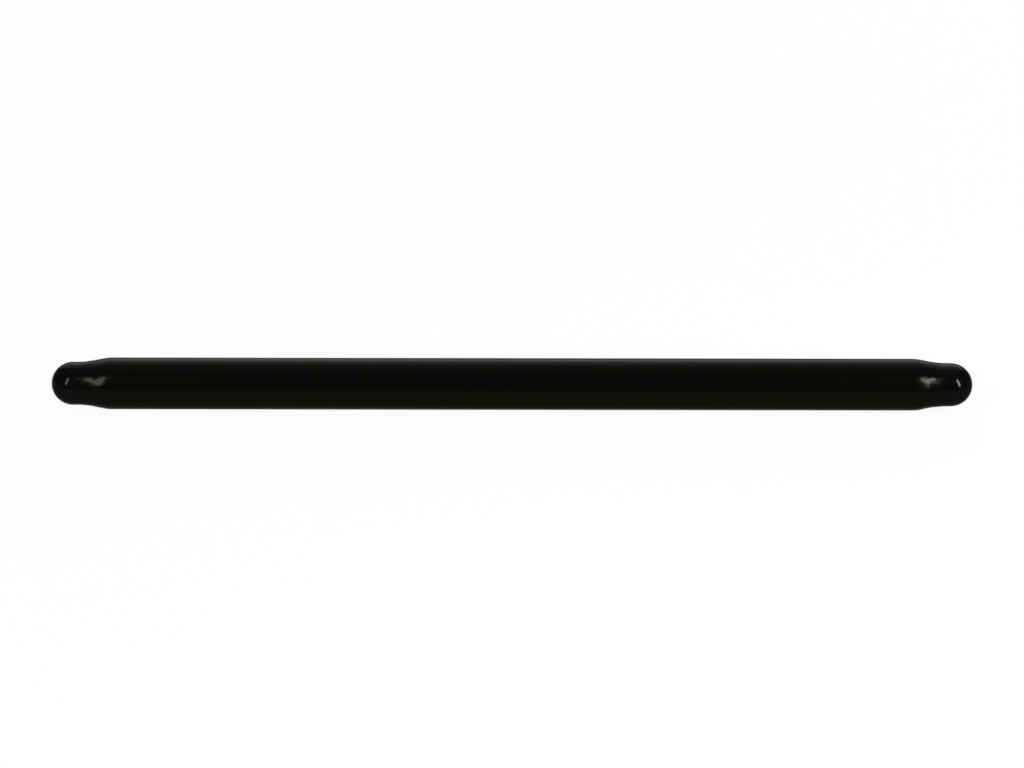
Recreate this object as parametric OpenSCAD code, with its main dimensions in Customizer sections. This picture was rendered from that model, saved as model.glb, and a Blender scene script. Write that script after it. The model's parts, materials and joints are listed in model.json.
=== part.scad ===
// Engine pushrod: one length of steel tube with both ends swaged down to a ball.
// Each ball is pierced, so oil runs from one end to the other through the tube.
// The rod lies along X, with its middle at the origin.

/* [Tube] */
// Length over the two ball ends
overall_length = 168.91; // [120:0.01:260]
// Outside diameter of the tube
tube_d = 9.525; // [8.7:0.005:12.7]
// Thickness of the tube's wall
tube_wall = 2.032; // [1.2:0.004:3]

/* [Ball ends] */
// Diameter of the ball that turns in its cup
ball_d = 7.9375; // [6.5:0.0025:9]
// Length of the straight neck behind the ball
neck_length = 0.45; // [0.1:0.05:6]
// Slope of the shoulder between neck and tube, in degrees
shoulder_angle = 12; // [8:0.5:25]
// Radius that blends the neck into the shoulder
neck_blend_r = 20; // [2:0.5:30]
// Radius that blends the shoulder into the tube
shoulder_blend_r = 10; // [1:0.5:20]

/* [Oil way] */
// Diameter of the oil hole through each ball
oil_hole_d = 1.6; // [0.8:0.1:2.6]
// Width of the broken edge round the mouth of the oil hole
oil_hole_break = 0.1; // [0.05:0.05:0.4]
// Slope of the bore where it closes down to the oil hole, in degrees
bore_angle = 20; // [12:0.5:35]
// Radius that blends both ends of that slope
bore_blend_r = 3; // [0.5:0.5:6]

/* [Hidden] */
$fn = 96;

tube_r = tube_d / 2;
ball_r = ball_d / 2;
bore_r = tube_r - tube_wall;
oil_hole_r = oil_hole_d / 2;
mouth_r = oil_hole_r + oil_hole_break;
// Most of a slope's rise that its two blends may take up
blend_share = 0.9;
// How far a slope cuts into its blends, so that they cross and do not just touch
blend_cross = 0.001;
// How far a shape runs past what it cuts or trims
overcut = 1;

// Stations along the rod, from its middle to one tip
tip_y = overall_length / 2;
ball_y = tip_y - sqrt(pow(ball_r, 2) - pow(mouth_r, 2));
neck_y = ball_y - neck_length;
tube_y = neck_y - taper_length(ball_r, tube_r, neck_blend_r, shoulder_blend_r, shoulder_angle);

assert(tube_d > ball_d, "the tube must be thicker than the ball");
assert(bore_r > oil_hole_r, "the bore must be wider than the oil hole");

// Share of the wanted blend radii that fits within a slope's rise
function blend_fit(small_r, big_r, small_blend, big_blend, angle) =
    min(1, blend_share * (big_r - small_r) / ((small_blend + big_blend) * (1 - cos(angle))));

// Length along the axis of a slope with its two blends
function taper_length(small_r, big_r, small_blend, big_blend, angle) =
    let (
        blends = (small_blend + big_blend) * blend_fit(small_r, big_r, small_blend, big_blend, angle),
        flank_rise = (big_r - small_r) - blends * (1 - cos(angle))
    )
    blends * sin(angle) + flank_rise / tan(angle);

// Area between the Y axis and a slope from big_r at y = 0 to small_r,
// with a round blend at its start and a hollow one at its end.
// Each blend's circle is moved in two steps, so that its arc ends exactly at big_r or small_r.
module taper_section(small_r, big_r, small_blend, big_blend, angle) {
    fit = blend_fit(small_r, big_r, small_blend, big_blend, angle);
    length = taper_length(small_r, big_r, small_blend, big_blend, angle);
    round_r = big_blend * fit;
    hollow_r = small_blend * fit;
    flank_start = [big_r - round_r * (1 - cos(angle)) - blend_cross, round_r * sin(angle)];
    flank_end = [small_r + hollow_r * (1 - cos(angle)) + blend_cross, length - hollow_r * sin(angle)];
    flank_run = flank_end - flank_start;
    slope = flank_run.x / flank_run.y;

    intersection() {
        polygon([
            [0, 0],
            [flank_start.x - slope * flank_start.y, 0],
            [flank_end.x + slope * (length - flank_end.y), length],
            [0, length],
        ]);
        union() {
            translate([big_r, 0]) translate([-round_r, 0]) circle(round_r);
            square([max(small_r, big_r - round_r), length]);
            translate([0, flank_start.y]) square([big_r + overcut, length]);
        }
    }
    difference() {
        translate([0, flank_end.y]) square([small_r + hollow_r, length - flank_end.y]);
        translate([small_r, length]) translate([hollow_r, 0]) circle(hollow_r);
    }
}

// The same shape at both ends of the rod
module both_ends() {
    children();
    mirror([0, 1]) children();
}

// Area between the Y axis and the rod's outline
module outside_section() {
    both_ends() {
        square([tube_r, tube_y]);
        translate([0, tube_y])
            taper_section(ball_r, tube_r, neck_blend_r, shoulder_blend_r, shoulder_angle);
        translate([0, ball_y]) {
            translate([0, tube_y - ball_y]) square([ball_r, ball_y - tube_y]);
            intersection() {
                circle(ball_r);
                square([ball_r + overcut, ball_r + overcut]);
            }
        }
    }
}

// Area of the tube's bore, its slopes, the oil holes and their broken edges
module oil_way_section() {
    both_ends() {
        square([bore_r, tube_y]);
        translate([0, tube_y])
            taper_section(oil_hole_r, bore_r, bore_blend_r, bore_blend_r, bore_angle);
        translate([0, tip_y - oil_hole_break]) {
            translate([0, tube_y - tip_y]) square([oil_hole_r, tip_y - tube_y]);
            polygon([
                [0, 0],
                [oil_hole_r, 0],
                [mouth_r + overcut, oil_hole_break + overcut],
                [0, oil_hole_break + overcut],
            ]);
        }
    }
}

module pushrod() {
    color("#161615") rotate([0, 90, 0]) rotate_extrude() difference() {
        outside_section();
        oil_way_section();
    }
}

pushrod();
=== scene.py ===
"""Looks of an engine pushrod: a steel tube with both ends swaged to a pierced ball, in black oxide.

Lengths are in metres. The rod lies along X with its middle at the origin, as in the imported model.
"""
import json
import math

import bmesh
import bpy
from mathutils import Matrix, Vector


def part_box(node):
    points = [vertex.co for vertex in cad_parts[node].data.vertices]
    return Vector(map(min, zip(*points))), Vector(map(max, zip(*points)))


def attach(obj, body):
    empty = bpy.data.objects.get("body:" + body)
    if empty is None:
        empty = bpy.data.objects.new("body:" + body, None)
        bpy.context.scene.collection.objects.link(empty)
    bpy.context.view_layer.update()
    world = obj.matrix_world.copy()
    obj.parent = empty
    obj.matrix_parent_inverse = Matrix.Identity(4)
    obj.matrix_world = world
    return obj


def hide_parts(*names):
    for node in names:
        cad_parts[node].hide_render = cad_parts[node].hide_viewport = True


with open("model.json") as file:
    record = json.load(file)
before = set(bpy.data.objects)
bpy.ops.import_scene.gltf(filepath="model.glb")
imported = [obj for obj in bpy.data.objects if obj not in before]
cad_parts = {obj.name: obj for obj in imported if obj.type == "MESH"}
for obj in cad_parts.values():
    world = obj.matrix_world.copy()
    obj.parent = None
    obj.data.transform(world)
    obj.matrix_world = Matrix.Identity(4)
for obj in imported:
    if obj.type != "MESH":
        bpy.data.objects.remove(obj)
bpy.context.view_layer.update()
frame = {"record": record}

MM = 0.001

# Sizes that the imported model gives
mounts = {mount["name"]: mount for mount in frame["record"]["mounts"]}
tube_r = mounts["guide_shank"]["dims"]["r_mm"] * MM
ball_r = mounts["rocker_ball"]["dims"]["r_mm"] * MM
ball_x = mounts["rocker_ball"]["pos_m"][0]
oil_hole_r = mounts["rocker_oil_hole"]["dims"]["r_mm"] * MM
tip_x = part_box("pushrod")[1][0]

# Sizes of the solid's section that it does not give
tube_wall = 2.032 * MM
neck_length = 0.45 * MM
shoulder_slope = math.radians(12)
neck_blend_r = 20 * MM
shoulder_blend_r = 10 * MM
mouth_break = 0.1 * MM
bore_slope = math.radians(20)
bore_blend_r = 3 * MM

bore_r = tube_r - tube_wall
mouth_r = oil_hole_r + mouth_break
neck_x = ball_x - neck_length

# How finely the section and the turn round the axis are divided, and from which angle an edge is sharp
formed_step = 0.13 * MM
ball_step = 0.22 * MM
bore_step = 0.26 * MM
oil_hole_step = 1.5 * MM
plain_step = 6 * MM
turn_steps = 180
sharp_angle = math.radians(30)

# Marks that the swaging dies leave on the shoulders
mark_depth = 0.055 * MM
mark_size = 2 * MM
mark_seed = 1.0


def linear(hex_colour):
    """Turns an sRGB hex colour into linear RGBA."""
    channels = [int(hex_colour[i:i + 2], 16) / 255 for i in (1, 3, 5)]
    return [c / 12.92 if c <= 0.04045 else ((c + 0.055) / 1.055) ** 2.4 for c in channels] + [1.0]


def add_node(tree, kind, inputs=None, **settings):
    """Adds a node; inputs maps a socket's name or number to a value, or to the output that feeds it."""
    node = tree.nodes.new(kind)
    for name, value in settings.items():
        setattr(node, name, value)
    for key, value in (inputs or {}).items():
        if isinstance(value, bpy.types.NodeSocket):
            tree.links.new(value, node.inputs[key])
        else:
            node.inputs[key].default_value = value
    return node


# Section of the rod, as (x, radius) points


def line(start, end, step):
    """Points from start to end, about a step apart."""
    count = max(1, round(math.dist(start, end) / step))
    return [
        (start[0] + (end[0] - start[0]) * i / count, start[1] + (end[1] - start[1]) * i / count)
        for i in range(count + 1)
    ]


def arc(centre, radius, start, end, step):
    """Points along an arc from one angle to another, about a step apart."""
    count = max(2, round(abs(end - start) * radius / step))
    angles = [start + (end - start) * i / count for i in range(count + 1)]
    return [(centre[0] + radius * math.cos(a), centre[1] + radius * math.sin(a)) for a in angles]


def taper_length(big_r, small_r, round_r, hollow_r, slope):
    """Length along X of a slope with a round blend at its start and a hollow one at its end."""
    blends = round_r + hollow_r
    flank_rise = big_r - small_r - blends * (1 - math.cos(slope))
    return blends * math.sin(slope) + flank_rise / math.tan(slope)


def taper(x, big_r, small_r, round_r, hollow_r, slope, step):
    """Points down such a slope, from big_r at x to small_r."""
    end_x = x + taper_length(big_r, small_r, round_r, hollow_r, slope)
    quarter = math.pi / 2
    start_blend = arc((x, big_r - round_r), round_r, quarter, quarter - slope, step)
    end_blend = arc((end_x, small_r + hollow_r), hollow_r, 3 * quarter - slope, 3 * quarter, step)
    return start_blend + line(start_blend[-1], end_blend[0], step)[1:-1] + end_blend


tube_end_x = neck_x - taper_length(tube_r, ball_r, shoulder_blend_r, neck_blend_r, shoulder_slope)


def half_section():
    """Outline of the +X half: from the middle along the outside, round the tip, back along the bore."""
    outside = line((0, tube_r), (tube_end_x, tube_r), plain_step)[:-1]
    outside += taper(
        tube_end_x, tube_r, ball_r, shoulder_blend_r, neck_blend_r, shoulder_slope, formed_step
    )
    outside += arc((ball_x, 0), ball_r, math.pi / 2, math.asin(mouth_r / ball_r), ball_step)
    bore = line((0, bore_r), (tube_end_x, bore_r), plain_step)[:-1]
    bore += taper(tube_end_x, bore_r, oil_hole_r, bore_blend_r, bore_blend_r, bore_slope, bore_step)
    bore += line(bore[-1], (tip_x - mouth_break, oil_hole_r), oil_hole_step)[1:]
    return outside + bore[::-1]


def section_loop():
    """The whole section as one closed loop of points."""
    half = half_section()
    return half + [(-x, r) for x, r in half[-2:0:-1]]


def die_pressure(x, r):
    """Share of the dies' marks that a point of the section takes, up to all of them amid a shoulder."""
    along = (abs(x) - tube_end_x) / (ball_x - tube_end_x)
    if r < ball_r or not 0 < along < 1:
        return 0.0
    return 1 - (2 * along - 1) ** 4


# The rod


def swaged_rod_tree():
    """Geometry Nodes that sweep a section round the rod's axis and press the dies' marks into it."""
    tree = bpy.data.node_groups.new("swaged_rod", "GeometryNodeTree")
    sockets = {
        "Section": "NodeSocketGeometry",
        "Sweep Radius": "NodeSocketFloat",
        "Turn Steps": "NodeSocketInt",
        "Mark Depth": "NodeSocketFloat",
        "Mark Size": "NodeSocketFloat",
        "Mark Seed": "NodeSocketFloat",
        "Finish": "NodeSocketMaterial",
    }
    for name, kind in sockets.items():
        tree.interface.new_socket(name, in_out="INPUT", socket_type=kind)
    tree.interface.new_socket("Rod", in_out="OUTPUT", socket_type="NodeSocketGeometry")
    given = add_node(tree, "NodeGroupInput").outputs

    # The section's X points away from the circle's axis and its Y runs against it
    section = add_node(tree, "GeometryNodeMeshToCurve", {0: given["Section"]}).outputs[0]
    circle = add_node(
        tree,
        "GeometryNodeCurvePrimitiveCircle",
        {"Resolution": given["Turn Steps"], "Radius": given["Sweep Radius"]},
    ).outputs[0]
    circle = add_node(tree, "GeometryNodeSetCurveNormal", {0: circle}, mode="Z_UP").outputs[0]
    swept = add_node(tree, "GeometryNodeCurveToMesh", {0: circle, 1: section}).outputs[0]
    swept = add_node(tree, "GeometryNodeFlipFaces", {0: swept}).outputs[0]
    lying = add_node(
        tree, "GeometryNodeTransform", {0: swept, "Rotation": (0, math.pi / 2, 0)}
    ).outputs[0]

    # Waves as large as the marks, scaled by the pressure that each point took
    fineness = add_node(
        tree, "ShaderNodeMath", {0: 1.0, 1: given["Mark Size"]}, operation="DIVIDE"
    ).outputs[0]
    wave = add_node(
        tree,
        "ShaderNodeTexNoise",
        {"W": given["Mark Seed"], "Scale": fineness, "Detail": 1.0},
        noise_dimensions="4D",
        normalize=False,
    ).outputs[0]
    pressure = add_node(
        tree, "GeometryNodeInputNamedAttribute", {"Name": "die_pressure"}, data_type="FLOAT"
    ).outputs[0]
    depth = add_node(
        tree, "ShaderNodeMath", {0: pressure, 1: given["Mark Depth"]}, operation="MULTIPLY"
    ).outputs[0]
    lift = add_node(tree, "ShaderNodeMath", {0: wave, 1: depth}, operation="MULTIPLY").outputs[0]
    outwards = add_node(tree, "GeometryNodeInputNormal").outputs[0]
    offset = add_node(
        tree, "ShaderNodeVectorMath", {0: outwards, "Scale": lift}, operation="SCALE"
    ).outputs[0]
    marked = add_node(tree, "GeometryNodeSetPosition", {0: lying, "Offset": offset}).outputs[0]

    smooth = add_node(tree, "GeometryNodeSetShadeSmooth", {0: marked}).outputs[0]
    real = add_node(tree, "GeometryNodeRealizeInstances", {0: smooth}).outputs[0]
    finished = add_node(
        tree, "GeometryNodeSetMaterial", {0: real, "Material": given["Finish"]}
    ).outputs[0]
    add_node(tree, "NodeGroupOutput", {0: finished})
    return tree


def swaged_rod_mesh(finish):
    """The rod's whole surface, outside and bore, as one closed mesh."""
    points = section_loop()
    count = len(points)
    section_mesh = bpy.data.meshes.new("pushrod_section")
    section_mesh.from_pydata(
        [(r - tube_r, -x, 0) for x, r in points], [(i, (i + 1) % count) for i in range(count)], []
    )
    pressures = section_mesh.attributes.new("die_pressure", "FLOAT", "POINT")
    pressures.data.foreach_set("value", [die_pressure(x, r) for x, r in points])
    section = bpy.data.objects.new("pushrod_section", section_mesh)
    bpy.context.collection.objects.link(section)
    modifier = section.modifiers.new("swaged_rod", "NODES")
    modifier.node_group = swaged_rod_tree()
    sizes = {
        "Sweep Radius": tube_r,
        "Turn Steps": turn_steps,
        "Mark Depth": mark_depth,
        "Mark Size": mark_size,
        "Mark Seed": mark_seed,
        "Finish": finish,
    }
    for item in modifier.node_group.interface.items_tree:
        if item.in_out == "INPUT" and item.name in sizes:
            modifier[item.identifier] = sizes[item.name]
    evaluated = section.evaluated_get(bpy.context.evaluated_depsgraph_get())
    mesh = bpy.data.meshes.new_from_object(evaluated)
    bpy.data.objects.remove(section)
    mesh.name = "pushrod_swaged"
    mesh.set_sharp_from_angle(angle=sharp_angle)
    return mesh


def make_pushrod(finish):
    """The whole rod, in place of its plainer solid."""
    rod = bpy.data.objects.new("pushrod_swaged", swaged_rod_mesh(finish))
    bpy.context.collection.objects.link(rod)
    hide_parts("pushrod")
    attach(rod, "root")


# Materials

# Sizes of the finish's patterns
cloud_size = 5 * MM
line_width = 0.4 * MM
line_length = 6 * MM
grain_size = 0.4 * MM
relief_depth = 0.004 * MM

# How far the finish of tube, ends and balls runs over into the next
finish_run = 2 * MM

# Roughness of tube, ends and balls; the first two follow a noise, whose values mostly lie in 0.3 to 0.7
tube_rough_range = {"From Min": 0.3, "From Max": 0.7, "To Min": 0.2, "To Max": 0.26}
end_rough_range = {"From Min": 0.3, "From Max": 0.7, "To Min": 0.19, "To Max": 0.23}
ball_roughness = 0.13

# Share of a bare metal's gleam at a grazing angle that the oxide leaves
edge_gleam = 0.57


def hot_black_oxide_steel():
    """Ground and swaged steel, blackened in a hot salt bath: a very dark satin with soft grey highlights,
    finely lined round the ground tube, grainy on the ends that the dies pressed and smooth on the balls.

    A Mix node's sockets 2 and 3 are its two numbers, and 6 and 7 its two colours.
    """
    material = bpy.data.materials.new("hot_black_oxide_steel")
    material.use_nodes = True
    tree = material.node_tree
    tree.nodes.clear()
    place = add_node(tree, "ShaderNodeTexCoord").outputs["Object"]

    # Formed ends and balls by their distance from the rod's middle
    along = add_node(tree, "ShaderNodeSeparateXYZ", {0: place}).outputs["X"]
    from_middle = add_node(tree, "ShaderNodeMath", {0: along}, operation="ABSOLUTE").outputs[0]
    on_end = add_node(
        tree,
        "ShaderNodeMapRange",
        {"Value": from_middle, "From Min": tube_end_x - finish_run, "From Max": tube_end_x + finish_run},
        interpolation_type="SMOOTHSTEP",
    ).outputs[0]
    on_ball = add_node(
        tree,
        "ShaderNodeMapRange",
        {"Value": from_middle, "From Min": neck_x - finish_run, "From Max": ball_x + finish_run / 2},
        interpolation_type="SMOOTHSTEP",
    ).outputs[0]

    # Cloudy patches of the bath's colour, a few millimetres across, a little paler on the polished balls
    cloud = add_node(
        tree, "ShaderNodeTexNoise", {"Vector": place, "Scale": 1 / cloud_size, "Detail": 3.0}
    ).outputs[0]
    bath_colour = add_node(
        tree,
        "ShaderNodeMix",
        {"Factor": cloud, 6: linear("#161612"), 7: linear("#1b1b17")},
        data_type="RGBA",
    ).outputs[2]
    colour = add_node(
        tree,
        "ShaderNodeMix",
        {"Factor": on_ball, 6: bath_colour, 7: linear("#1b1b18")},
        data_type="RGBA",
    ).outputs[2]

    # Grinding lines round the tube, drawn coarser than they are so that they show
    stretched = add_node(
        tree,
        "ShaderNodeMapping",
        {"Vector": place, "Scale": (1 / line_width, 1 / line_length, 1 / line_length)},
    ).outputs[0]
    lines = add_node(
        tree, "ShaderNodeTexNoise", {"Vector": stretched, "Scale": 1.0, "Detail": 2.0}
    ).outputs[0]
    tube_rough = add_node(tree, "ShaderNodeMapRange", {"Value": lines, **tube_rough_range}).outputs[0]

    # Fine grain of the oxide, drawn coarser than it is so that it shows
    grain = add_node(
        tree, "ShaderNodeTexNoise", {"Vector": place, "Scale": 1 / grain_size, "Detail": 2.0}
    ).outputs[0]
    end_rough = add_node(tree, "ShaderNodeMapRange", {"Value": grain, **end_rough_range}).outputs[0]
    rough = add_node(
        tree, "ShaderNodeMix", {"Factor": on_end, 2: tube_rough, 3: end_rough}, data_type="FLOAT"
    ).outputs[0]
    rough = add_node(
        tree, "ShaderNodeMix", {"Factor": on_ball, 2: rough, 3: ball_roughness}, data_type="FLOAT"
    ).outputs[0]
    relief = add_node(
        tree, "ShaderNodeMix", {"Factor": on_end, 2: lines, 3: grain}, data_type="FLOAT"
    ).outputs[0]
    bump = add_node(
        tree, "ShaderNodeBump", {"Height": relief, "Strength": 0.3, "Distance": relief_depth}
    ).outputs[0]

    shader = add_node(
        tree,
        "ShaderNodeBsdfPrincipled",
        {
            "Base Color": colour,
            "Metallic": 1.0,
            "Roughness": rough,
            "Normal": bump,
            "Specular Tint": (edge_gleam, edge_gleam, edge_gleam, 1.0),
        },
    ).outputs[0]
    add_node(tree, "ShaderNodeOutputMaterial", {"Surface": shader})
    return material


# Brightness of the room, and the painted glow of the board in the rod's reflections, where 1 shows as
# white
room_grey = 0.28
board_glow_near_rod = 0.53

# Share of the lit card, with the rod's shadow on it, in what the camera sees of the board near the rod
shadow_share = 0.06

# Distances from the rod's middle between which the board's painted glow fades from its brightness near
# the rod to what it is far away
near_board = 0.1
far_board = 0.5


def matt_white_card():
    """White card without gloss: it shows as pure white, with a soft trace of the rod's shadow."""
    material = bpy.data.materials.new("matt_white_card")
    material.use_nodes = True
    tree = material.node_tree
    tree.nodes.clear()
    lit_card = add_node(tree, "ShaderNodeBsdfDiffuse", {"Color": linear("#f4f4f4")}).outputs[0]
    ray = add_node(tree, "ShaderNodeLightPath").outputs
    place = add_node(tree, "ShaderNodeTexCoord").outputs["Object"]
    distance = add_node(tree, "ShaderNodeVectorMath", {0: place}, operation="LENGTH").outputs["Value"]
    fade = {"Value": distance, "From Min": near_board, "From Max": far_board}

    # Pure white to the camera, except near the rod
    white_share = add_node(
        tree, "ShaderNodeMapRange", {**fade, "To Min": 1 - shadow_share, "To Max": 1.0}
    ).outputs[0]
    seen = add_node(
        tree, "ShaderNodeMath", {0: ray["Is Camera Ray"], 1: white_share}, operation="MULTIPLY"
    ).outputs[0]

    # Grey in the rod's reflections, so that they stay as dark as the photograph's
    mirrored = add_node(
        tree,
        "ShaderNodeMath",
        {0: ray["Is Glossy Ray"], 1: ray["Is Transmission Ray"]},
        operation="MAXIMUM",
    ).outputs[0]
    # Painted pool of light: in reflections the board glows brighter near the rod than far from it
    grey = add_node(
        tree, "ShaderNodeMapRange", {**fade, "To Min": board_glow_near_rod, "To Max": room_grey}
    ).outputs[0]

    brightness = add_node(
        tree, "ShaderNodeMath", {0: ray["Is Camera Ray"], 1: grey}, operation="MAXIMUM"
    ).outputs[0]
    white = add_node(tree, "ShaderNodeEmission", {"Strength": brightness}).outputs[0]
    share = add_node(tree, "ShaderNodeMath", {0: seen, 1: mirrored}, operation="MAXIMUM").outputs[0]
    mixed = add_node(tree, "ShaderNodeMixShader", {0: share, 1: lit_card, 2: white}).outputs[0]
    add_node(tree, "ShaderNodeOutputMaterial", {"Surface": mixed})
    return material


# Studio


def make_cove():
    """A round white board under the rod, rolled up at its rim so that it also stands behind the rod."""
    flat_r = 2.4
    flat_step = 0.6
    roll_r = 0.6
    roll_step = 0.075
    rim_steps = 96
    merge_distance = 0.01 * MM
    rim = line((0.0, 0.0), (flat_r, 0.0), flat_step)
    rim += arc((flat_r, roll_r), roll_r, -math.pi / 2, 0, roll_step)[1:]
    shape = bmesh.new()
    outline = [shape.verts.new((r, 0, z - tube_r)) for r, z in rim]
    edges = [shape.edges.new(pair) for pair in zip(outline, outline[1:])]
    bmesh.ops.spin(
        shape,
        geom=outline + edges,
        axis=(0, 0, 1),
        cent=(0, 0, 0),
        angle=2 * math.pi,
        steps=rim_steps,
    )
    bmesh.ops.remove_doubles(shape, verts=shape.verts, dist=merge_distance)
    for face in shape.faces:
        face.smooth = True
    mesh = bpy.data.meshes.new("cove")
    shape.to_mesh(mesh)
    shape.free()
    mesh.materials.append(matt_white_card())
    cove = bpy.data.objects.new("cove", mesh)
    bpy.context.collection.objects.link(cove)


def make_world():
    """A plain grey room."""
    world = bpy.data.worlds.new("studio")
    world.use_nodes = True
    background = world.node_tree.nodes["Background"]
    background.inputs["Color"].default_value = (1.0, 1.0, 1.0, 1.0)
    background.inputs["Strength"].default_value = room_grey
    bpy.context.scene.world = world


# Camera, and directions as it sees them

camera_height = math.radians(30)
to_camera = Vector((0, -math.cos(camera_height), math.sin(camera_height)))
picture_right = Vector((1, 0, 0))
picture_up = Vector((0, math.sin(camera_height), math.cos(camera_height)))


def seen_from_camera(right, up):
    """Direction that lies so many degrees right of and above the way to the camera."""
    right = math.radians(right)
    up = math.radians(up)
    level = to_camera * math.cos(right) + picture_right * math.sin(right)
    return level * math.cos(up) + picture_up * math.sin(up)


def behind(elevation):
    """Direction behind the rod, so many degrees above the board."""
    elevation = math.radians(elevation)
    return Vector((0, math.cos(elevation), math.sin(elevation)))


def make_camera():
    """Looks down on the lying rod, framed as in the photograph: it drops a little to the right."""
    view_width = 188.13 * MM
    rod_drop = math.radians(0.098)
    data = bpy.data.cameras.new("camera")
    data.lens = 120
    data.sensor_width = 36
    camera = bpy.data.objects.new("camera", data)
    camera.location = to_camera * (view_width * data.lens / data.sensor_width)
    camera.rotation_euler = to_camera.to_track_quat("Z", "Y").to_euler()
    camera.rotation_euler.rotate_axis("Z", rod_drop)
    bpy.context.collection.objects.link(camera)
    bpy.context.scene.camera = camera


# Lamps

daylight = linear("#f5f4ff")[:3]


def make_softbox(name, direction, distance, size, brightness, spread=180):
    """A rectangular softbox aimed at the middle of the rod, which shows only in what it lights.

    A spread under 180 degrees is a grid on its front, with which it looks darker towards its edges.
    """
    width, height = size
    data = bpy.data.lights.new(name, "AREA")
    data.shape = "RECTANGLE"
    data.size = width
    data.size_y = height
    data.energy = brightness * math.pi * width * height
    data.spread = math.radians(spread)
    data.color = daylight
    lamp = bpy.data.objects.new(name, data)
    lamp.location = direction * distance
    lamp.rotation_euler = direction.to_track_quat("Z", "Y").to_euler()
    lamp.visible_camera = False
    bpy.context.collection.objects.link(lamp)


def make_strip_lights():
    """Two upright strips on either side of the camera, for the glints on the shoulders and balls."""
    distance = 0.62
    size = (0.07, 0.36)
    make_softbox("left_softbox", seen_from_camera(-34, 9), distance, size, brightness=13)
    make_softbox("right_softbox", seen_from_camera(42, 8), distance, size, brightness=34)


def make_back_light():
    """Softboxes behind and above the rod, dimmer with height, for the bright line on its upper edge."""
    distance = 0.8
    width = 1.3
    # Lowest and highest elevation that each one covers, in degrees, and its brightness
    for name, low, high, brightness in (
        ("back_softbox", 10, 31, 1.05),
        ("upper_softbox", 31, 56, 0.32),
        ("top_softbox", 56, 96, 0.062),
    ):
        height = 2 * distance * math.tan(math.radians(high - low) / 2)
        make_softbox(name, behind((low + high) / 2), distance, (width, height), brightness, spread=90)


make_pushrod(hot_black_oxide_steel())
make_cove()
make_world()
make_camera()
make_strip_lights()
make_back_light()
bpy.context.scene.view_settings.view_transform = "Standard"
